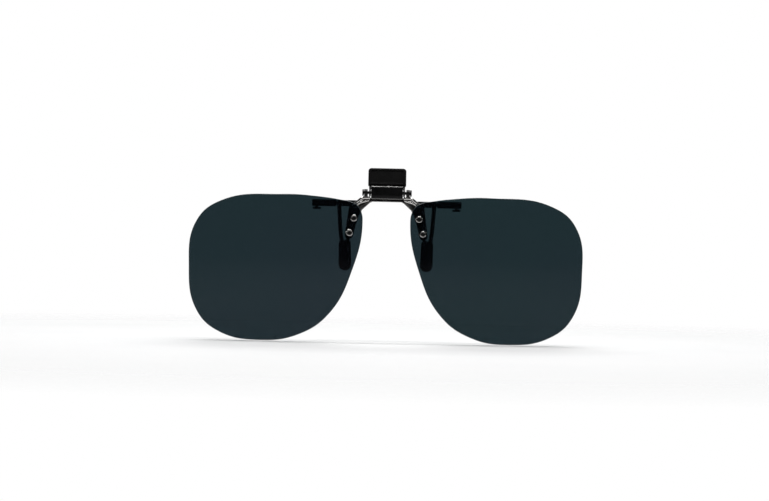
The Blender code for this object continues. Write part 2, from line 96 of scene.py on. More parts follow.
# Bridge, pin and housing
BRIDGE_FRONT_Y = 0.4 * MM
BRIDGE_THICKNESS = 0.8 * MM
STRAP_END = (12.75 * MM, -14.55 * MM)
STRAP_END_RADIUS = 1.4 * MM
STRAP_OUTER_SLANT = 7.5
STRAP_INNER_SLANT = 15.5
KNUCKLE_RADIUS = 1.2 * MM
KNUCKLE_INNER = 6.6 * MM
KNUCKLE_OUTER = 7.75 * MM
PIN_RADIUS = 0.5 * MM
PIN_BORE = 0.58 * MM
PIN_END = 8.1 * MM
BORE_REACH = 12 * MM
FRICTION_WASHER = (7.8 * MM, 7.9 * MM)
FRICTION_WASHER_RADIUS = 1.1 * MM
HEAD_RADIUS = 1.15 * MM
HEAD_INNER = 7.95 * MM
HEAD_OUTER = 8.42 * MM
HOUSING_HALF_WIDTH = 5.4 * MM
HOUSING_FRONT = -2.0 * MM
HOUSING_BACK = 1.2 * MM
HOUSING_TOP = 2.3 * MM
HOUSING_BOTTOM = -2.2 * MM
HOUSING_WALL = 0.4 * MM
HOUSING_TOP_ROUND = 0.7 * MM
HOUSING_LOW_ROUND = 1.5 * MM
SPRING_RADIUS = 1.1 * MM
SPRING_WIRE = 0.2 * MM
SPRING_HALF_LENGTH = 3.5 * MM
SPRING_TURNS = 6

# Jaws, wires, sleeves and tips
JAW_FRONT_Y = 1.5 * MM
JAW_THICKNESS = 0.8 * MM
WING_CENTRE_Z = -3.7 * MM
TONGUE_END = 24.9 * MM
TONGUE_HALF_HEIGHT = 0.6 * MM
SLEEVE_INNER = 17.2 * MM
SLEEVE_OUTER = 25.5 * MM
SLEEVE_HALF_HEIGHT = 1.15 * MM
SLEEVE_FRONT_Y = 0.95 * MM
SLEEVE_BACK_Y = 2.85 * MM
FIT = 0.08 * MM
LEG_WIRE = 0.72 * MM
PRONG_WIRE = 0.6 * MM
FRONT_TIP_TOP = (14.75 * MM, -17.6 * MM)
REAR_TIP_TOP = (13.45 * MM, -17.4 * MM)
TIP_TOP_RADIUS = 1.4 * MM
TIP_BOTTOM = (13.9 * MM, -24.55 * MM)
TIP_BOTTOM_RADIUS = 2.15 * MM
TIP_THICKNESS = 2.2 * MM
FRONT_TIP_Y = 2.6 * MM
REAR_TIP_Y = 5.1 * MM
LEG_PATH = [(16.2, 0.65, -2.9), (16.15, 0.65, -5.0), (15.9, 1.4, -9.0), (15.65, 2.2, -12.6),
            (15.2, 2.6, -16.0), (14.75, 2.6, -18.6), (14.2, 2.6, -22.8)]
PRONG_PATH = [(7.1, 2.5, 0.2), (7.1, 4.2, -0.5), (7.6, 6.4, -2.2), (8.8, 8.5, -5.2),
              (10.4, 9.1, -8.4), (11.8, 7.9, -11.8), (12.8, 5.9, -14.6), (13.3, 5.1, -17.2),
              (13.9, 5.1, -22.8)]

# Thumb lever and pad, drawn upright and leant back about the pin
LEVER_LEAN = 20
LEVER_FRONT_Y = 2.0 * MM
LEVER_THICKNESS = 0.5 * MM
EAR_INNER = 5.5 * MM
EAR_OUTER = 6.15 * MM
EAR_RADIUS = 1.15 * MM
PAD_HALF_WIDTH = 6.5 * MM
PAD_BOTTOM = 3.3 * MM
PAD_TOP = 9.75 * MM
PAD_FRONT_Y = 1.45 * MM
PAD_THICKNESS = 1.6 * MM


# ---------------------------------------------------------------- shapes

def scaled(points):
    """Millimetre points as metres."""
    return [tuple(value * MM for value in point) for point in points]


def mirrored(points, side):
    """Points drawn at +X, put on one side of the middle plane."""
    return [(side * point[0], *point[1:]) for point in points]


def arc(center, radius, start, end, steps):
    """Points on an arc of a flat outline, between two angles in degrees."""
    angles = [math.radians(start + (end - start) * i / steps) for i in range(steps + 1)]
    return [(center[0] + radius * math.cos(a), center[1] + radius * math.sin(a)) for a in angles]


def tapered_slot(first, first_radius, second, second_radius, steps=20):
    """Outline round two circles of different size."""
    offset = Vector(second) - Vector(first)
    heading = math.degrees(math.atan2(offset.y, offset.x))
    tangent = math.degrees(math.acos((first_radius - second_radius) / offset.length))
    far = arc(second, second_radius, heading - tangent, heading + tangent, steps)
    near = arc(first, first_radius, heading + tangent, heading - tangent + 360, steps)
    return far + near


def softened(outline, radius, steps=5, least_turn=20):
    """The outline with its sharp corners rounded."""
    soft = []
    count = len(outline)
    for i, point in enumerate(outline):
        corner = Vector(point)
        before = Vector(outline[i - 1]) - corner
        after = Vector(outline[(i + 1) % count]) - corner
        if math.degrees(before.angle(-after)) < least_turn:
            soft.append(tuple(corner))
            continue
        start = corner + before.normalized() * min(radius, before.length * 0.45)
        end = corner + after.normalized() * min(radius, after.length * 0.45)
        for k in range(steps + 1):
            t = k / steps
            soft.append(tuple(start * (1 - t) ** 2 + corner * 2 * t * (1 - t) + end * t ** 2))
    return soft


def show(obj):
    """Link an object to the scene."""
    bpy.context.scene.collection.objects.link(obj)
    return obj


def evaluated_mesh(obj):
    """The object's evaluated mesh, welded, with its faces pointing out."""
    bpy.context.view_layer.update()
    depsgraph = bpy.context.evaluated_depsgraph_get()
    mesh = bpy.data.meshes.new_from_object(obj.evaluated_get(depsgraph))
    shape = bmesh.new()
    shape.from_mesh(mesh)
    bmesh.ops.remove_doubles(shape, verts=shape.verts, dist=WELD)
    bmesh.ops.recalc_face_normals(shape, faces=shape.faces)
    shape.to_mesh(mesh)
    shape.free()
    return mesh


def settled(obj):
    """The object as a plain mesh in the frame's coordinates; the one it was made from goes."""
    mesh = evaluated_mesh(obj)
    mesh.transform(obj.matrix_world)
    name = obj.name
    bpy.data.objects.remove(obj, do_unlink=True)
    return show(bpy.data.objects.new(name, mesh))


def curve_object(name, points, cyclic, smooth):
    """A curve of one spline, either straight between its points or smooth through them."""
    data = bpy.data.curves.new(name, "CURVE")
    spline = data.splines.new("BEZIER" if smooth else "POLY")
    knots = spline.bezier_points if smooth else spline.points
    knots.add(len(points) - 1)
    for knot, point in zip(knots, points):
        knot.co = point if smooth else (*point, 1.0)
        if smooth:
            knot.handle_left_type = "AUTO"
            knot.handle_right_type = "AUTO"
    spline.use_cyclic_u = cyclic
    return show(bpy.data.objects.new(name, data))


def plate(name, outline, near, far, rotation=STANDING, edge=0.0, rounding=3):
    """A flat outline given a thickness; standing ones run along Y and sideways ones along X."""
    curve = curve_object(name, [(*point, 0.0) for point in outline], True, False)
    curve.data.dimensions = "2D"
    curve.data.fill_mode = "BOTH"
    curve.data.extrude = (far - near) / 2 - edge
    curve.data.bevel_depth = edge
    curve.data.bevel_resolution = rounding
    curve.data.offset = -edge
    middle = (near + far) / 2
    curve.location = (0, middle, 0) if rotation == STANDING else (middle, 0, 0)
    curve.rotation_euler = rotation
    return settled(curve)


def wire(name, points, radius):
    """A round wire bent smoothly through its points."""
    curve = curve_object(name, points, False, True)
    curve.data.dimensions = "3D"
    curve.data.resolution_u = 10
    curve.data.bevel_depth = radius
    curve.data.bevel_resolution = 6
    curve.data.use_fill_caps = True
    return settled(curve)


def lengthened(points, extra):
    """A path with its last point pushed on by a short length."""
    last = Vector(points[-1])
    onward = (last - Vector(points[-2])).normalized()
    return points[:-1] + [tuple(last + onward * extra)]


def turned(name, profile, location, rotation, closed=False, steps=48):
    """A turned piece: a profile of (radius, height) swept round its own Z axis."""
    mesh = bpy.data.meshes.new(name)
    edges = [(i, i + 1) for i in range(len(profile) - 1)]
    if closed:
        edges.append((len(profile) - 1, 0))
    mesh.from_pydata([(radius, 0, height) for radius, height in profile], edges, [])
    obj = show(bpy.data.objects.new(name, mesh))
    sweep = obj.modifiers.new("Screw", "SCREW")
    sweep.steps = steps
    sweep.render_steps = steps
    sweep.use_merge_vertices = True
    sweep.merge_threshold = WELD
    obj.location = location
    obj.rotation_euler = rotation
    return settled(obj)


def ring(name, inner, outer, bottom, top, location, rotation):
    """A flat washer with softened edges."""
    soft = min(0.06 * MM, (top - bottom) * 0.3)
    profile = [(outer - soft, top), (outer, top - soft), (outer, bottom + soft),
               (outer - soft, bottom), (inner + soft, bottom), (inner, bottom + soft),
               (inner, top - soft), (inner + soft, top)]
    return turned(name, profile, location, rotation, closed=True)


def box(name, low, high):
    """A plain box between two corners, used only as a cutter."""
    shape = bmesh.new()
    bmesh.ops.create_cube(shape, size=1.0)
    bmesh.ops.scale(shape, vec=Vector(high) - Vector(low), verts=shape.verts)
    bmesh.ops.translate(shape, vec=(Vector(high) + Vector(low)) / 2, verts=shape.verts)
    mesh = bpy.data.meshes.new(name)
    shape.to_mesh(mesh)
    shape.free()
    return show(bpy.data.objects.new(name, mesh))


def combined(obj, tools, operation):
    """The object joined or cut with other closed shapes, which are then removed."""
    for tool in tools:
        step = obj.modifiers.new("Combine", "BOOLEAN")
        step.operation = operation
        step.solver = "EXACT"
        step.object = tool
    done = settled(obj)
    for tool in tools:
        bpy.data.objects.remove(tool, do_unlink=True)
    return done


def leant(obj):
    """A piece drawn upright, leant back about the pin."""
    obj.data.transform(Matrix.Rotation(math.radians(-LEVER_LEAN), 4, "X"))
    return obj


def dress(obj, node, finish, sharp=38, rides=True, second=None, takes_second=None):
    """Give a piece its finish and shading, and let it stand for its CAD node on its body.

    Faces that pass the test takes_second have the second finish instead.
    """
    obj.name = f"{node}_look"
    obj.data.materials.clear()
    obj.data.materials.append(finish)
    if second:
        obj.data.materials.append(second)
        for face in obj.data.polygons:
            face.material_index = 1 if takes_second(face) else 0
    obj.data.shade_smooth()
    obj.data.set_sharp_from_angle(angle=math.radians(sharp))
    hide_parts(node)
    if rides:
        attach(obj, BODY_OF[node])
    return obj


# ---------------------------------------------------------------- finishes

class Finish:
    """A node material in the making, with its patterns in the piece's own coordinates."""

    def __init__(self, name, metallic=0.0, specular=0.5):
        self.material = bpy.data.materials.new(name)
        self.material.use_nodes = True
        self.tree = self.material.node_tree
        self.shader = self.tree.nodes["Principled BSDF"]
        self.output = self.tree.nodes["Material Output"]
        self.shader.inputs["Metallic"].default_value = metallic
        self.shader.inputs["Specular IOR Level"].default_value = specular
        self.place = self.add("ShaderNodeTexCoord").outputs["Object"]

    def add(self, kind, inputs=None, **settings):
        """A node with its settings, its inputs linked or given a value."""
        node = self.tree.nodes.new(kind)
        for name, value in settings.items():
            setattr(node, name, value)
        for name, value in (inputs or {}).items():
            self.feed(node.inputs[name], value)
        return node

    def feed(self, socket, value):
        """Link a socket to another, or set its value."""
        if isinstance(value, bpy.types.NodeSocket):
            self.tree.links.new(value, socket)
        else:
            socket.default_value = value

    def noise(self, per_mm, detail=3.0, stretch=(1.0, 1.0, 1.0)):
        """Noise with so many features to the millimetre, stretched along an axis if asked."""
        spread = self.add("ShaderNodeMapping", {"Vector": self.place, "Scale": stretch})
        inputs = {"Vector": spread.outputs["Vector"], "Scale": per_mm / MM, "Detail": detail}
        return self.add("ShaderNodeTexNoise", inputs).outputs["Fac"]

    def ramp(self, factor, *stops):
        """A colour ramp through (position, colour) stops."""
        node = self.add("ShaderNodeValToRGB", {"Fac": factor})
        elements = node.color_ramp.elements
        while len(elements) < len(stops):
            elements.new(0.5)
        for element, (position, color) in zip(elements, stops):
            element.position = position
            element.color = (*color, 1.0)
        return node.outputs["Color"]

    def span(self, value, low, high, to_low, to_high):
        """A value carried from one range to another."""
        inputs = {"Value": value, "From Min": low, "From Max": high, "To Min": to_low,
                  "To Max": to_high}
        return self.add("ShaderNodeMapRange", inputs).outputs["Result"]

    def joined(self, operation, first, second):
        """Two values joined by arithmetic."""
        node = self.add("ShaderNodeMath", operation=operation)
        self.feed(node.inputs[0], first)
        self.feed(node.inputs[1], second)
        return node.outputs["Value"]

    def blended(self, factor, first, second):
        """One colour fading into another."""
        node = self.add("ShaderNodeMix", data_type="RGBA")
        self.feed(node.inputs["Factor"], factor)
        self.feed(node.inputs[6], first)
        self.feed(node.inputs[7], second)
        return node.outputs[2]

    def axis(self, name):
        """One coordinate of the place on the piece."""
        return self.add("ShaderNodeSeparateXYZ", {"Vector": self.place}).outputs[name]

    def paint(self, color, roughness, height=None, depth=0.0, strength=1.0):
        """Feed the shader its colour, roughness and relief."""
        self.feed(self.shader.inputs["Base Color"], color)
        self.feed(self.shader.inputs["Roughness"], roughness)
        if height is not None:
            inputs = {"Height": height, "Distance": depth, "Strength": strength}
            bump = self.add("ShaderNodeBump", inputs)
            self.feed(self.shader.inputs["Normal"], bump.outputs["Normal"])
        return self.material


def lens_finish():
    """Dark blue-green polarised sheet: it lets little light through and has a hard clean gloss."""
    finish = Finish("tinted_lens", specular=0.12)
    cloud = finish.noise(0.016, 1.0)
    haze = finish.noise(0.35, 5.0)
    hairlines = finish.noise(2.5, 4.0, (1.0, 1.0, 0.06))
    own = finish.ramp(cloud, (0.3, (0.003, 0.006, 0.008)), (0.7, (0.005, 0.0055, 0.008)))
    sheen = finish.span(haze, 0.35, 0.7, 0.02, 0.055)
    rough = finish.joined("ADD", sheen, finish.span(hairlines, 0.62, 0.75, 0.0, 0.03))
    finish.paint(own, rough, finish.noise(0.05, 1.0), 0.02 * MM, 0.15)
    tint = finish.ramp(cloud, (0.3, (0.222, 0.325, 0.34)), (0.7, (0.236, 0.31, 0.345)))
    through = finish.add("ShaderNodeBsdfTransparent", {"Color": tint})
    mix = finish.add("ShaderNodeMixShader", {"Fac": 0.5})
    finish.feed(mix.inputs[1], finish.shader.outputs["BSDF"])
    finish.feed(mix.inputs[2], through.outputs["BSDF"])
    finish.feed(finish.output.inputs["Surface"], mix.outputs["Shader"])
    return finish.material


def lens_rim_finish():
    """The lens's ground and buffed edge, glossier than its faces; its colour, a little paler than
    theirs, is a painted highlight along the rim.
    """
    finish = Finish("lens_edge_painted_highlight", specular=0.5)
    cloud = finish.noise(0.4, 4.0)
    grinding = finish.noise(8.0, 3.0, (1.0, 0.1, 1.0))
    # Paler colour of the rim: painted highlight along the lens's edge.
    color = finish.ramp(cloud, (0.3, (0.02, 0.03, 0.036)), (0.7, (0.035, 0.045, 0.052)))
    rough = finish.joined("ADD", finish.span(cloud, 0.3, 0.7, 0.18, 0.28),
                          finish.span(grinding, 0.4, 0.7, 0.0, 0.1))
    return finish.paint(color, rough, grinding, 0.004 * MM, 0.5)


def gunmetal_finish():
    """Polished nickel with faint rubbing along the arms, coated black round the pin."""
    finish = Finish("black_nickel", specular=0.15)
    patina = finish.noise(0.5, 4.0)
    rubbing = finish.noise(9.0, 3.0, (0.12, 1.0, 1.0))
    nickel = finish.ramp(patina, (0.3, (0.42, 0.41, 0.4)), (0.7, (0.6, 0.585, 0.57)))
    across = finish.add("ShaderNodeVectorMath", {0: finish.place, 1: (0.0, 1.0, 1.0)},
                        operation="MULTIPLY")
    reach = finish.add("ShaderNodeVectorMath", {0: across.outputs["Vector"]}, operation="LENGTH")
    bare = finish.span(reach.outputs["Value"], KNUCKLE_RADIUS, KNUCKLE_RADIUS + 0.3 * MM, 0.0, 1.0)
    coat = finish.ramp(patina, (0.3, (0.004, 0.004, 0.0042)), (0.7, (0.011, 0.011, 0.0113)))
    polish = finish.joined("ADD", finish.span(patina, 0.3, 0.7, 0.1, 0.16),
                           finish.span(rubbing, 0.4, 0.7, 0.0, 0.08))
    finish.feed(finish.shader.inputs["Metallic"], bare)
    rough = finish.joined("ADD", polish, finish.span(bare, 0.0, 1.0, 0.22, 0.0))
    return finish.paint(finish.blended(bare, coat, nickel), rough, rubbing, 0.004 * MM, 0.5)


def polished_finish():
    """Bright nickel of the rivets and burrs, with fine scratches."""
    finish = Finish("bright_nickel", metallic=1.0)
    breath = finish.noise(1.2, 3.0)
    scratches = finish.noise(14.0, 2.0, (1.0, 1.0, 0.15))
    color = finish.ramp(breath, (0.3, (0.42, 0.41, 0.4)), (0.7, (0.58, 0.57, 0.555)))
    rough = finish.joined("ADD", finish.span(breath, 0.3, 0.7, 0.08, 0.16),
                          finish.span(scratches, 0.45, 0.75, 0.0, 0.12))
    return finish.paint(color, rough, scratches, 0.003 * MM, 0.4)


def dark_pin_finish():
    """Blackened steel of the pin and its washers, unevenly dark; in the dimples of the rivets this
    dark colour is painted shade.
    """
    finish = Finish("blackened_steel_and_dimple_shade", specular=0.15)
    breath = finish.noise(1.6, 4.0)
    color = finish.ramp(breath, (0.3, (0.004, 0.004, 0.0042)), (0.72, (0.012, 0.0118, 0.0115)))
    rough = finish.span(breath, 0.3, 0.7, 0.34, 0.46)
    return finish.paint(color, rough, finish.noise(10.0, 2.0), 0.004 * MM, 0.4)


def black_metal_finish():
    """Satin black coating over steel, with a fine orange peel."""
    finish = Finish("satin_black_coat", specular=0.35)
    patina = finish.noise(0.35, 4.0)
    peel = finish.noise(4.0, 2.0)
    color = finish.ramp(patina, (0.3, (0.0025, 0.0025, 0.0028)), (0.7, (0.0055, 0.0055, 0.0058)))
    rough = finish.joined("ADD", finish.span(patina, 0.3, 0.7, 0.3, 0.4),
                          finish.span(peel, 0.4, 0.7, 0.0, 0.06))
    return finish.paint(color, rough, peel, 0.012 * MM, 0.6)


def housing_finish():
    """Black coat brushed along the hinge; along its two long front edges, ragged bands of grey
    metal are a painted highlight where the rounded edges catch the light.
    """
    finish = Finish("brushed_black_coat", specular=0.1)
    patina = finish.noise(0.4, 4.0)
    brushing = finish.noise(8.0, 3.0, (0.04, 1.0, 1.0))
    height = finish.axis("Z")
    # Ragged bands along the top and bottom front edges: painted highlight on the rounded edges.
    ragged = finish.joined("MULTIPLY", finish.noise(1.5, 4.0, (0.4, 1.0, 1.0)), 0.35 * MM)
    above = finish.joined("ADD", height, ragged)
    below = finish.joined("SUBTRACT", height, ragged)
    top_edge = finish.span(above, HOUSING_TOP - 0.12 * MM, HOUSING_TOP + 0.06 * MM, 0.0, 1.0)
    low_edge = finish.span(below, HOUSING_BOTTOM + 0.2 * MM, HOUSING_BOTTOM, 0.0, 0.6)
    front = finish.span(finish.axis("Y"), HOUSING_FRONT + 0.8 * MM, HOUSING_FRONT + 1.8 * MM,
                        1.0, 0.0)
    painted_edge_highlight = finish.joined("MULTIPLY", finish.joined("MAXIMUM", top_edge, low_edge), front)
    black = finish.ramp(patina, (0.3, (0.003, 0.003, 0.0032)), (0.7, (0.0065, 0.0065, 0.0068)))
    # Grey metal colour of the painted edge highlight.
    steel = finish.ramp(brushing, (0.3, (0.13, 0.128, 0.125)), (0.7, (0.24, 0.235, 0.23)))
    finish.feed(finish.shader.inputs["Metallic"], painted_edge_highlight)
    rough = finish.joined("ADD", finish.span(patina, 0.3, 0.7, 0.26, 0.36),
                          finish.span(brushing, 0.4, 0.7, 0.0, 0.1))
    return finish.paint(finish.blended(painted_edge_highlight, black, steel), rough, brushing, 0.006 * MM, 0.6)


def spring_finish():
    """Drawn spring steel, bright with a light oil stain."""
    finish = Finish("drawn_spring_steel", metallic=1.0)
    stain = finish.noise(0.8, 4.0)
    draw = finish.noise(12.0, 3.0, (1.0, 0.3, 0.3))
    color = finish.ramp(stain, (0.3, (0.36, 0.35, 0.33)), (0.7, (0.58, 0.57, 0.55)))
    rough = finish.joined("ADD", finish.span(stain, 0.3, 0.7, 0.2, 0.3),
                          finish.span(draw, 0.4, 0.7, 0.0, 0.12))
    return finish.paint(color, rough, draw, 0.004 * MM, 0.5)


def rubber_finish():
    """Matte black silicone with a fine moulded grain and a trace of dust."""
    finish = Finish("black_silicone", specular=0.2)
    dust = finish.noise(0.9, 5.0)
    grain = finish.noise(7.0, 3.0)
    color = finish.ramp(dust, (0.35, (0.0025, 0.0025, 0.0026)), (0.75, (0.008, 0.0078, 0.0075)))
    rough = finish.joined("ADD", finish.span(dust, 0.3, 0.7, 0.5, 0.62),
                          finish.span(grain, 0.3, 0.7, 0.0, 0.1))
    finish.shader.inputs["Sheen Weight"].default_value = 0.03
    finish.shader.inputs["Sheen Roughness"].default_value = 0.5
    return finish.paint(color, rough, grain, 0.02 * MM, 0.7)


def thumb_finish():
    """Black moulded plastic with a spark-eroded texture, a little glossier where thumbs rub."""
    finish = Finish("moulded_black_plastic", specular=0.06)
    rubbed = finish.noise(0.25, 3.0)
    pitting = finish.noise(9.0, 2.0)
    color = finish.ramp(rubbed, (0.3, (0.001, 0.001, 0.001)), (0.7, (0.0022, 0.0021, 0.002)))
    rough = finish.joined("ADD", finish.span(rubbed, 0.3, 0.7, 0.36, 0.5),
                          finish.span(pitting, 0.35, 0.7, 0.0, 0.1))
    return finish.paint(color, rough, pitting, 0.015 * MM, 0.6)


def nylon_finish():
    """Milky nylon of the small washers."""
    finish = Finish("milky_nylon")
    cloud = finish.noise(1.4, 3.0)
    turning = finish.noise(10.0, 2.0, (0.3, 1.0, 1.0))
    color = finish.ramp(cloud, (0.3, (0.62, 0.63, 0.62)), (0.7, (0.78, 0.785, 0.77)))
    finish.shader.inputs["Subsurface Weight"].default_value = 0.25
    finish.shader.inputs["Subsurface Scale"].default_value = 0.3 * MM
    rough = finish.span(cloud, 0.3, 0.7, 0.34, 0.48)
    return finish.paint(color, rough, turning, 0.005 * MM, 0.5)


FINISHES = {"lens": lens_finish(), "lens_rim": lens_rim_finish(),
            "gunmetal": gunmetal_finish(), "polished": polished_finish(),
            "dark_pin": dark_pin_finish(), "black_metal": black_metal_finish(),
            "housing": housing_finish(), "spring": spring_finish(), "rubber": rubber_finish(),
            "thumb": thumb_finish(), "nylon": nylon_finish()}


# ---------------------------------------------------------------- lenses and their rivets

def lens_outline(steps=12):
    """The lens's edge at +X, as points smoothly through its knots, with their inward directions."""
    curve = curve_object("lens_edge", [(*point, 0.0) for point in scaled(LENS_OUTLINE)], True, True)
    curve.data.resolution_u = steps
    depsgraph = bpy.context.evaluated_depsgraph_get()
    mesh = curve.evaluated_get(depsgraph).to_mesh()
    points = [vertex.co.xy.copy() for vertex in mesh.vertices]
    bpy.data.objects.remove(curve, do_unlink=True)
    count = len(points)
    middle = Vector(LENS_MIDDLE)
    inward = []
    for i in range(count):
        along = (points[(i + 1) % count] - points[i - 1]).normalized()
        across = Vector((-along.y, along.x))
        inward.append(across if across.dot(middle - points[i]) > 0 else -across)
    return points, inward


def lens_sag(x, z):
    """How far a lens's surface falls back from its vertex at a place at +X."""
    away = (Vector((x, z)) - Vector(LENS_VERTEX)).length
    return LENS_RADIUS - math.sqrt(LENS_RADIUS ** 2 - away ** 2)


def lens_section():
    """Steps of (inset, share of the way to the middle, depth) from front middle to back middle."""
    rounds = [(LENS_ROUND * (1 - math.sin(a)), LENS_ROUND * (1 - math.cos(a)))
              for a in (math.radians(90 * k / 5) for k in range(6))]
    front = [(LENS_ROUND * 1.3, 1 - k / LENS_RINGS, 0.0) for k in range(1, LENS_RINGS + 1)]
    front += [(inset, 0.0, depth) for inset, depth in rounds]
    back = [(inset, share, LENS_THICKNESS - depth) for inset, share, depth in reversed(front)]
    return front + back


def make_lens(side_name, side):
    """A lens: two smooth spherical faces, a rounded rim and two drilled holes."""
    points, inward = lens_outline()
    middle = Vector(LENS_MIDDLE)
    shape = bmesh.new()

    def spot(place, depth):
        """A point of the lens, from its place in the outline's plane and its depth."""
        y = LENS_BACK_Y - LENS_THICKNESS + lens_sag(place.x, place.y) + depth
        return shape.verts.new((side * place.x, y, place.y))

    rows = []
    for inset, share, depth in lens_section():
        places = [(p + n * inset).lerp(middle, share) for p, n in zip(points, inward)]
        rows.append([spot(place, depth) for place in places])
    ends = [spot(middle, 0.0), spot(middle, LENS_THICKNESS)]
    count = len(points)
    for i in range(count):
        after = (i + 1) % count
        shape.faces.new((ends[0], rows[0][i], rows[0][after]))
        shape.faces.new((ends[1], rows[-1][after], rows[-1][i]))
        for first, second in zip(rows, rows[1:]):
            shape.faces.new((first[i], second[i], second[after], first[after]))
    bmesh.ops.recalc_face_normals(shape, faces=shape.faces)
    mesh = bpy.data.meshes.new("lens")
    shape.to_mesh(mesh)
    shape.free()
    lens = show(bpy.data.objects.new("lens", mesh))
    holes = [rod("hole", RIVET_HOLE, -HOLE_REACH, HOLE_REACH, (side * x, 0, z), STANDING)
             for x, z in RIVET_SPOTS.values()]
    # The rim faces take the paler edge finish, a painted highlight along the lens's edge.
    dress(combined(lens, holes, "DIFFERENCE"), f"{side_name}_lens", FINISHES["lens"],
          second=FINISHES["lens_rim"],
          takes_second=lambda face: abs(face.normal.y) <= RIM_FACING)


def rod(name, radius, low, high, location, rotation):
    """A plain cylinder from low to high along its own axis, used as a cutter."""
    profile = [(0, high), (radius, high), (radius, low), (0, low)]
    return turned(name, profile, location, rotation)


def make_rivet_stack(side_name, side, spot_name):
    """A rivet with a rolled rim and a dimple, its nylon washer and the burr behind the strap."""
    x, z = RIVET_SPOTS[spot_name]
    spot = (side * x, 0, z)
    under_head = GAP - LENS_BACK_Y + LENS_THICKNESS
    dome = RIVET_DOME
    dimple = RIVET_DIMPLE
    floor = under_head + dome - DIMPLE_DEPTH
    crown = [(0, floor), (dimple * 0.6, floor + 0.01 * MM), (dimple * 0.85, floor + 0.05 * MM),
             (dimple, floor + 0.16 * MM), (dimple + 0.05 * MM, under_head + dome - 0.03 * MM),
             (dimple + 0.12 * MM, under_head + dome)]
    inner = dimple + 0.12 * MM
    rise = dome - 0.08 * MM
    rolled = [(inner + (RIVET_HEAD - inner) * math.sin(turn) ** 0.6,
               under_head + 0.08 * MM + rise * math.cos(turn) ** 0.6)
              for turn in (math.radians(90 * k / 18) for k in range(1, 19))]
    skirt = [(RIVET_HEAD, under_head + 0.05 * MM), (RIVET_HEAD - 0.05 * MM, under_head),
             (RIVET_SHANK, under_head)]
    strap_back = BRIDGE_FRONT_Y + BRIDGE_THICKNESS
    burr_front = strap_back + BURR_CLEARANCE
    burr_back = burr_front + BURR_THICKNESS
    tail = burr_back + TAIL_LENGTH
    shank = [(RIVET_SHANK, -tail + 0.15 * MM), (RIVET_SHANK - 0.05 * MM, -tail + 0.05 * MM),
             (RIVET_SHANK - 0.15 * MM, -tail), (0, -tail)]
    label = f"{side_name}_{spot_name}"
    rivet = turned("rivet", crown + rolled + skirt + shank, spot, STANDING)
    washer = ring("washer", RIVET_HOLE, WASHER_RADIUS, -BRIDGE_FRONT_Y + GAP, -LENS_BACK_Y - GAP,
                  spot, STANDING)
    burr = ring("burr", BURR_INNER, BURR_OUTER, -burr_back, -burr_front, spot, STANDING)
    axis = Vector((side * x, z))

    def in_dimple(face):
        """Whether a face of the rivet lies in the dimple of its head."""
        return face.center.y < 0 and (face.center.xz - axis).length < dimple

    # The dimple in each rivet head takes the dark finish as painted shade in the hollow.
    dress(rivet, f"rivet_{label}", FINISHES["polished"], second=FINISHES["dark_pin"],
          takes_second=in_dimple)
    dress(washer, f"washer_{label}", FINISHES["nylon"])
    dress(burr, f"burr_{label}", FINISHES["polished"])


# ---------------------------------------------------------------- hinge

def pin_cutter():
    """The bore for the hinge pin."""
    return rod("pin_bore", PIN_BORE, -BORE_REACH, BORE_REACH, (0, 0, 0), ALONG_X)


def make_bridge():
    """The pressed bridge: crossbar, arms with two raised rails, straps and rolled knuckles."""
    lead_in = scaled([(5.55, -2.55), (5.75, -1.6), (8.2, -1.6), (9.6, -2.5), (11.7, -3.7),
                      (12.75, -4.6), (13.0, -6.0)])
    strap = arc(STRAP_END, STRAP_END_RADIUS, STRAP_OUTER_SLANT, STRAP_INNER_SLANT - 180, 24)
    lead_out = scaled([(9.75, -8.6), (8.85, -6.35), (5.3, -3.1)])
    half = lead_in + strap + lead_out
    outline = softened(half + mirrored(half[::-1], -1), 0.35 * MM)
    bridge = plate("bridge", outline, BRIDGE_FRONT_Y, BRIDGE_FRONT_Y + BRIDGE_THICKNESS,
                   edge=0.12 * MM)
    rails = [(0.52 * MM, [(5.75, 0.3, -1.78), (7.1, 0.3, -1.72), (8.4, 0.3, -1.95),
                          (9.6, 0.35, -2.85), (10.8, 0.6, -3.95), (11.6, 0.75, -5.6)]),
             (0.42 * MM, [(6.1, 0.4, -2.5), (7.6, 0.35, -2.95), (9.0, 0.35, -3.35),
                          (9.9, 0.45, -3.9), (10.6, 0.7, -5.0), (10.9, 0.85, -6.2)])]
    knuckle = arc((0, 0), KNUCKLE_RADIUS, 0, 200, 32) + scaled([(0.42, -1.8), (1.1, -1.8)])
    joins = []
    for side in SIDES.values():
        joins += [wire("rail", mirrored(scaled(path), side), radius) for radius, path in rails]
        ends = sorted((side * KNUCKLE_INNER, side * KNUCKLE_OUTER))
        joins.append(plate("knuckle", knuckle, *ends, rotation=SIDEWAYS, edge=0.12 * MM))
    bridge = combined(bridge, joins, "UNION")
    holes = [rod("hole", RIVET_HOLE, -HOLE_REACH, HOLE_REACH, (side * x, 0, z), STANDING)
             for side in SIDES.values() for x, z in RIVET_SPOTS.values()]
    dress(combined(bridge, holes + [pin_cutter()], "DIFFERENCE"), "lens_bridge",
          FINISHES["gunmetal"])


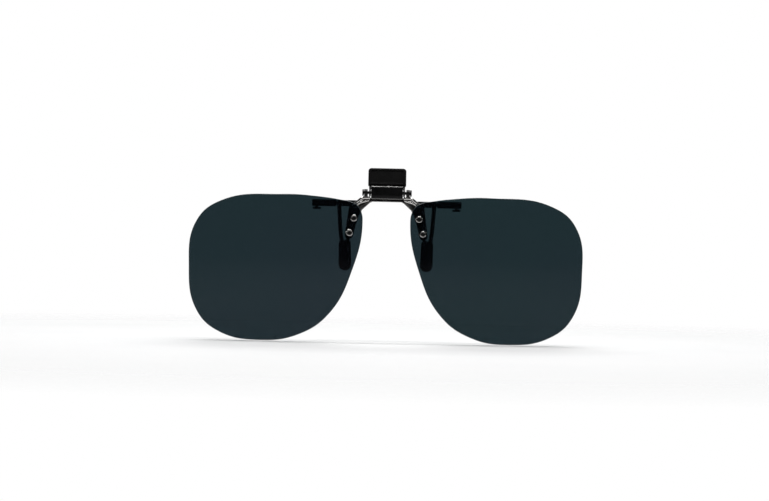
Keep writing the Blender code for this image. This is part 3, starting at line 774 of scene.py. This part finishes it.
def make_housing():
    """The pressed housing, hollow and open at the back, with rolled long edges."""
    low = (HOUSING_FRONT + HOUSING_LOW_ROUND, HOUSING_BOTTOM + HOUSING_LOW_ROUND)
    high = (HOUSING_FRONT + HOUSING_TOP_ROUND, HOUSING_TOP - HOUSING_TOP_ROUND)

    def section(grow, back):
        """The housing's outline in Y and Z, grown or shrunk, as far as a given back."""
        points = [(back, HOUSING_TOP + grow)]
        points += arc(high, HOUSING_TOP_ROUND + grow, 90, 180, 14)
        points += arc(low, HOUSING_LOW_ROUND + grow, 180, 270, 18)
        return points + [(back, HOUSING_BOTTOM - grow)]

    half = HOUSING_HALF_WIDTH
    housing = plate("housing", section(0.0, HOUSING_BACK), -half, half, SIDEWAYS, 0.15 * MM, 4)
    cavity = plate("cavity", section(-HOUSING_WALL, HOUSING_BACK + 1 * MM),
                   HOUSING_WALL - half, half - HOUSING_WALL, SIDEWAYS, 0.1 * MM)
    dress(combined(housing, [cavity, pin_cutter()], "DIFFERENCE"), "spring_housing",
          FINISHES["housing"])


def make_pin():
    """The hinge pin with its domed head, the pressed cap and two black friction washers."""
    round_off = 0.3 * MM
    crown = arc((HEAD_RADIUS - round_off, HEAD_OUTER - round_off), round_off, 90, 0, 8)
    head = [(radius, -height) for radius, height in reversed(crown)]
    shaft = [(0, PIN_END), (PIN_RADIUS - 0.1 * MM, PIN_END), (PIN_RADIUS, PIN_END - 0.1 * MM),
             (PIN_RADIUS, -HEAD_INNER), (HEAD_RADIUS - 0.05 * MM, -HEAD_INNER),
             (HEAD_RADIUS, -HEAD_INNER - 0.05 * MM)] + head
    shaft += [(0.35 * MM, -HEAD_OUTER), (0.3 * MM, -HEAD_OUTER + 0.06 * MM),
              (0, -HEAD_OUTER + 0.08 * MM)]
    cap_roof = PIN_END + 0.1 * MM
    cap = [(0, HEAD_OUTER)] + crown
    cap += [(HEAD_RADIUS, HEAD_INNER + 0.05 * MM), (HEAD_RADIUS - 0.05 * MM, HEAD_INNER),
            (PIN_BORE, HEAD_INNER), (PIN_BORE, cap_roof), (0, cap_roof)]
    for node, profile in (("hinge_pin", shaft), ("pin_cap", cap)):
        dress(turned("pin", profile, (0, 0, 0), ALONG_X), node, FINISHES["dark_pin"])
    for side_name, side in SIDES.items():
        bottom, top = sorted(side * face for face in FRICTION_WASHER)
        washer = ring("washer", PIN_BORE, FRICTION_WASHER_RADIUS, bottom, top, (0, 0, 0), ALONG_X)
        dress(washer, f"{side_name}_friction_washer", FINISHES["dark_pin"])


def make_spring():
    """The torsion spring, which twists between its arm in the housing and its arm on the lever."""
    per_turn = 28
    count = SPRING_TURNS * per_turn
    coil = []
    for i in range(count + 1):
        angle = 2 * math.pi * i / per_turn
        x = SPRING_HALF_LENGTH * (2 * i / count - 1)
        coil.append((x, -SPRING_RADIUS * math.sin(angle), SPRING_RADIUS * math.cos(angle)))
    lever_arm = scaled([(-3.7, 2.55, 1.9), (-3.6, 0.9, 1.45), (-3.54, 0.4, 1.25)])
    housing_arm = scaled([(3.54, -0.4, 1.15), (3.6, -0.9, 1.25), (3.7, -1.3, 1.35)])
    curve = curve_object("spring", lever_arm + coil + housing_arm, False, False)
    curve.data.dimensions = "3D"
    curve.data.bevel_depth = SPRING_WIRE
    curve.data.bevel_resolution = 4
    curve.data.use_fill_caps = True
    spring = dress(settled(curve), "torsion_spring", FINISHES["spring"], rides=False)
    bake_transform(spring)


# ---------------------------------------------------------------- jaws

def make_front_jaw():
    """The plate behind the housing with its two wings."""
    low = WING_CENTRE_Z - TONGUE_HALF_HEIGHT
    high = WING_CENTRE_Z + TONGUE_HALF_HEIGHT
    half = scaled([(5.0, 1.3), (5.0, -1.5), (9.5, -2.65), (16.9, -2.65)])
    half += [(16.9 * MM, high), (TONGUE_END, high), (TONGUE_END, low), (16.9 * MM, low)]
    half += scaled([(16.9, -4.75), (8.2, -4.75), (4.6, -2.9)])
    outline = softened(half + mirrored(half[::-1], -1), 0.35 * MM)
    jaw = plate("jaw", outline, JAW_FRONT_Y, JAW_FRONT_Y + JAW_THICKNESS, edge=0.12 * MM)
    dress(jaw, "front_jaw", FINISHES["black_metal"])


def make_wire_and_tip(names, side, path, radius, tip_top, tip_y):
    """A bent wire with a flat soft tip pushed on to its end."""
    route = mirrored(scaled(path), side)
    dress(wire("wire", route, radius), names[0], FINISHES["black_metal"])
    top = (side * tip_top[0], tip_top[1])
    bottom = (side * TIP_BOTTOM[0], TIP_BOTTOM[1])
    outline = tapered_slot(top, TIP_TOP_RADIUS, bottom, TIP_BOTTOM_RADIUS)
    half = TIP_THICKNESS / 2
    tip = plate("tip", outline, tip_y - half, tip_y + half, edge=0.6 * MM, rounding=6)
    bore = wire("bore", lengthened(route, 0.3 * MM), radius + FIT)
    dress(combined(tip, [bore], "DIFFERENCE"), names[1], FINISHES["rubber"], sharp=50)


def make_sleeve(side_name, side):
    """A soft sleeve over a wing's tongue, with a small foot under its outer end."""
    low = WING_CENTRE_Z - SLEEVE_HALF_HEIGHT
    high = WING_CENTRE_Z + SLEEVE_HALF_HEIGHT
    body = [(SLEEVE_INNER, low), (SLEEVE_OUTER, low), (SLEEVE_OUTER, high), (SLEEVE_INNER, high)]
    sleeve = plate("sleeve", softened(mirrored(body, side), 0.25 * MM), SLEEVE_FRONT_Y,
                   SLEEVE_BACK_Y, edge=0.25 * MM, rounding=4)
    sole = scaled([(22.6, -5.9), (25.0, -5.9), (25.2, -5.7), (25.2, -5.2), (24.4, -5.1),
                   (24.4, -4.6), (23.4, -4.6), (23.4, -5.1), (22.5, -5.2), (22.4, -5.7)])
    foot = plate("foot", softened(mirrored(sole, side), 0.2 * MM), SLEEVE_FRONT_Y + GAP,
                 SLEEVE_BACK_Y - GAP, edge=0.12 * MM)
    sleeve = combined(sleeve, [foot], "UNION")
    xs = sorted((side * (SLEEVE_INNER - 1 * MM), side * (TONGUE_END + FIT)))
    depth = JAW_THICKNESS / 2 + FIT
    pocket_y = JAW_FRONT_Y + JAW_THICKNESS / 2
    reach = TONGUE_HALF_HEIGHT + FIT
    pocket = box("pocket", (xs[0], pocket_y - depth, WING_CENTRE_Z - reach),
                 (xs[1], pocket_y + depth, WING_CENTRE_Z + reach))
    dress(combined(sleeve, [pocket], "DIFFERENCE"), f"{side_name}_wing_sleeve",
          FINISHES["rubber"], sharp=50)


def make_lever():
    """The bent thumb plate with an ear at each side on the pin."""
    blade = scaled([(-6.1, 2.2), (6.1, 2.2), (6.1, 3.05), (5.5, 3.05), (5.5, 7.9), (4.8, 8.6),
                    (-4.8, 8.6), (-5.5, 7.9), (-5.5, 3.05), (-6.1, 3.05)])
    lever = plate("lever", softened(blade, 0.2 * MM), LEVER_FRONT_Y,
                  LEVER_FRONT_Y + LEVER_THICKNESS, edge=0.08 * MM)
    ear = arc((0, 0), EAR_RADIUS, 110, 265, 24)
    ear += scaled([(4.36, 0.31), (3.74, 2.0), (2.6, 2.9), (2.6, 3.1), (1.8, 3.1)])
    joins = []
    for side in SIDES.values():
        ends = sorted((side * EAR_INNER, side * EAR_OUTER))
        joins.append(plate("ear", softened(ear, 0.2 * MM), *ends, rotation=SIDEWAYS,
                           edge=0.08 * MM))
    lever = combined(combined(lever, joins, "UNION"), [pin_cutter()], "DIFFERENCE")
    dress(leant(lever), "thumb_lever", FINISHES["black_metal"])


def pad_outline(inset, corner, heel):
    """The thumb pad's outline drawn in by an inset."""
    half = PAD_HALF_WIDTH - inset
    low = PAD_BOTTOM + inset
    high = PAD_TOP - inset
    points = arc((half - heel, low + heel), heel, -90, 0, 8)
    points += arc((half - corner, high - corner), corner, 0, 90, 14)
    return points + mirrored(points[::-1], -1)


def make_pad():
    """The moulded thumb pad: rounded edges, a shallow dished face and a pocket for the blade."""
    pad = plate("pad", pad_outline(0.0, 1.1 * MM, 0.5 * MM), PAD_FRONT_Y,
                PAD_FRONT_Y + PAD_THICKNESS, edge=0.4 * MM, rounding=6)
    dish = plate("dish", pad_outline(0.85 * MM, 0.7 * MM, 0.4 * MM), PAD_FRONT_Y - 1 * MM,
                 PAD_FRONT_Y + 0.12 * MM, edge=0.1 * MM, rounding=4)
    pocket = box("pocket", (-5.6 * MM, LEVER_FRONT_Y - FIT, PAD_BOTTOM - 1 * MM),
                 (5.6 * MM, LEVER_FRONT_Y + LEVER_THICKNESS + FIT, 8.7 * MM))
    dress(leant(combined(pad, [dish, pocket], "DIFFERENCE")), "thumb_pad", FINISHES["thumb"])


# ---------------------------------------------------------------- stage, light and camera

FLOOR_Z = -51.3 * MM
FLOOR_RADIUS = 0.36
FLOOR_SOLID = 0.10
CAMERA_DISTANCE = 0.9
CAMERA_X = -0.45 * MM
CAMERA_Z = -19.6 * MM
CAMERA_ROLL = 1.2
FRAME_WIDTH = 0.262
LIGHT_AIM = (0, 0, -0.015)
# Each light's place, size and power
LIGHTS = {"overhead": ((0.0, 0.05, 0.6), (0.6, 0.16), 4.5),
          "front_strip": ((0.0, -0.24, 0.52), (0.6, 0.035), 2.0),
          "left": ((-0.6, 0.05, 0.1), (0.1, 0.4), 1.2),
          "right": ((0.6, 0.05, 0.1), (0.1, 0.4), 1.0),
          "behind": ((0.0, 0.5, 0.35), (0.5, 0.2), 1.6)}


def make_floor():
    """A pale round floor just under the lenses that fades out before its edge."""
    finish = Finish("pale_floor", specular=0.2)
    mottle = finish.noise(0.02, 4.0)
    color = finish.ramp(mottle, (0.3, (0.52, 0.522, 0.524)), (0.7, (0.54, 0.54, 0.54)))
    finish.paint(color, finish.span(mottle, 0.3, 0.7, 0.64, 0.7), finish.noise(0.6, 3.0),
                 0.03 * MM, 0.15)
    reach = finish.add("ShaderNodeVectorMath", {0: finish.place}, operation="LENGTH")
    fade = finish.span(reach.outputs["Value"], FLOOR_SOLID, FLOOR_RADIUS * 0.97, 0.0, 1.0)
    clear = finish.add("ShaderNodeBsdfTransparent")
    mix = finish.add("ShaderNodeMixShader", {"Fac": fade})
    finish.feed(mix.inputs[1], finish.shader.outputs["BSDF"])
    finish.feed(mix.inputs[2], clear.outputs["BSDF"])
    finish.feed(finish.output.inputs["Surface"], mix.outputs["Shader"])
    shape = bmesh.new()
    bmesh.ops.create_circle(shape, cap_ends=True, segments=96, radius=FLOOR_RADIUS)
    mesh = bpy.data.meshes.new("floor")
    shape.to_mesh(mesh)
    shape.free()
    floor = show(bpy.data.objects.new("floor", mesh))
    floor.location.z = FLOOR_Z
    floor.data.materials.append(finish.material)


def make_world():
    """White for the eye; for reflections soft grey, darker on the viewer's side."""
    world = bpy.data.worlds.new("studio")
    world.use_nodes = True
    bpy.context.scene.world = world
    nodes = world.node_tree.nodes
    links = world.node_tree.links
    seen = nodes["Background"]
    seen.inputs["Color"].default_value = (1.0, 1.0, 1.0, 1.0)
    seen.inputs["Strength"].default_value = 1.0
    place = nodes.new("ShaderNodeTexCoord")
    split = nodes.new("ShaderNodeSeparateXYZ")
    links.new(place.outputs["Generated"], split.inputs["Vector"])
    shade = nodes.new("ShaderNodeMapRange")
    shade.interpolation_type = "SMOOTHSTEP"
    for name, value in (("From Min", -0.1), ("From Max", 0.7), ("To Min", 0.015), ("To Max", 0.5)):
        shade.inputs[name].default_value = value
    links.new(split.outputs["Y"], shade.inputs["Value"])
    lighting = nodes.new("ShaderNodeBackground")
    lighting.inputs["Color"].default_value = (0.98, 0.99, 1.0, 1.0)
    links.new(shade.outputs["Result"], lighting.inputs["Strength"])
    path = nodes.new("ShaderNodeLightPath")
    mix = nodes.new("ShaderNodeMixShader")
    links.new(path.outputs["Is Camera Ray"], mix.inputs["Fac"])
    links.new(lighting.outputs["Background"], mix.inputs[1])
    links.new(seen.outputs["Background"], mix.inputs[2])
    links.new(mix.outputs["Shader"], nodes["World Output"].inputs["Surface"])


def make_light(name, location, size, power):
    """A soft rectangular light aimed at the clip, unseen by the camera."""
    data = bpy.data.lights.new(name, "AREA")
    data.shape = "RECTANGLE"
    data.size = size[0]
    data.size_y = size[1]
    data.energy = power
    light = show(bpy.data.objects.new(name, data))
    light.location = location
    aim = Vector(LIGHT_AIM) - Vector(location)
    light.rotation_euler = aim.to_track_quat("-Z", "Y").to_euler()
    light.visible_camera = False


def make_camera():
    """A long lens square to the front of the clip, rolled slightly as the clip hangs."""
    data = bpy.data.cameras.new("camera")
    data.sensor_width = 36
    data.lens = data.sensor_width * CAMERA_DISTANCE / FRAME_WIDTH
    data.clip_start = 0.01
    data.clip_end = 20
    camera = show(bpy.data.objects.new("camera", data))
    camera.location = (CAMERA_X, -CAMERA_DISTANCE, CAMERA_Z)
    camera.rotation_euler = (math.radians(90), math.radians(-CAMERA_ROLL), 0)
    bpy.context.scene.camera = camera


def build():
    """Make every piece, the stage, the lights and the camera."""
    make_bridge()
    make_housing()
    make_pin()
    make_spring()
    make_front_jaw()
    make_lever()
    make_pad()
    for side_name, side in SIDES.items():
        make_lens(side_name, side)
        make_sleeve(side_name, side)
        make_wire_and_tip((f"{side_name}_front_leg", f"{side_name}_front_tip"), side, LEG_PATH,
                          LEG_WIRE, FRONT_TIP_TOP, FRONT_TIP_Y)
        make_wire_and_tip((f"{side_name}_rear_prong", f"{side_name}_rear_tip"), side, PRONG_PATH,
                          PRONG_WIRE, REAR_TIP_TOP, REAR_TIP_Y)
        for spot_name in RIVET_SPOTS:
            make_rivet_stack(side_name, side, spot_name)
    make_floor()
    make_world()
    for light_name, settings in LIGHTS.items():
        make_light(light_name, *settings)
    make_camera()
    bpy.context.scene.view_settings.view_transform = "Standard"


build()
